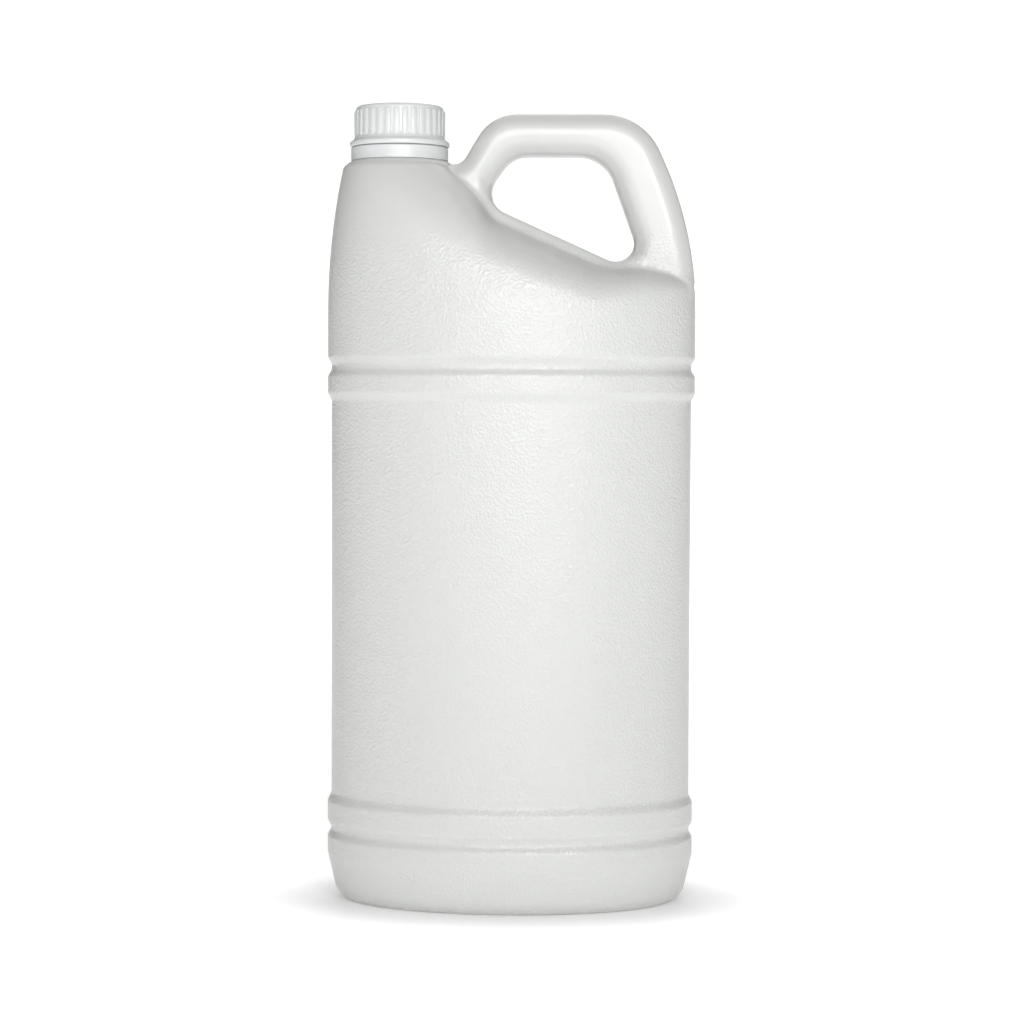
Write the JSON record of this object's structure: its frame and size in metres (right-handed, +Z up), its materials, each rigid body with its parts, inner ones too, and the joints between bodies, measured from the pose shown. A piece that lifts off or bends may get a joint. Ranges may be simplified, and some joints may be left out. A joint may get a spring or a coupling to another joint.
{
  "type": "handled plastic jug with screw cap",
  "caption": "Tall oval blow-moulded jug with a hollow side handle, raised bands, an off-centre neck and a ribbed screw cap with a tamper ring.",
  "frame": {"origin": "middle of the foot, on the surface that the jug stands on", "axes": "+Z up, +X towards the handle, +Y to the back, so that XZ is the plane of the mould's parting line"},
  "size_m": [0.167, 0.1, 0.3613],
  "materials": {
    "natural_polyethylene": "natural milky blow-moulded polyethylene, finely textured on the walls",
    "white_polypropylene": "opaque white injection-moulded polypropylene, smooth",
    "foam_liner": "closed-cell white sealing foam"
  },
  "bodies": {
    "jug": {"bottle": "natural_polyethylene", "tamper_ring": "white_polypropylene"},
    "wad": {"cap_liner": "foam_liner"},
    "cap": {"screw_cap": "white_polypropylene"}
  },
  "joints": [
    {"name": "cap_lift", "type": "slide", "parent": "jug", "child": "wad", "axis": [0, 0, 1], "range_m": [0, 0.017]},
    {"name": "cap_turn", "type": "hinge", "parent": "wad", "child": "cap", "pos_m": [-0.051, 0, 0.35], "axis": [0, 0, 1], "range_deg": [0, 1440]}
  ],
  "couplings": [
    {"joint": "cap_turn", "follows": "cap_lift", "rad_per_m": 1478.4}
  ]
}
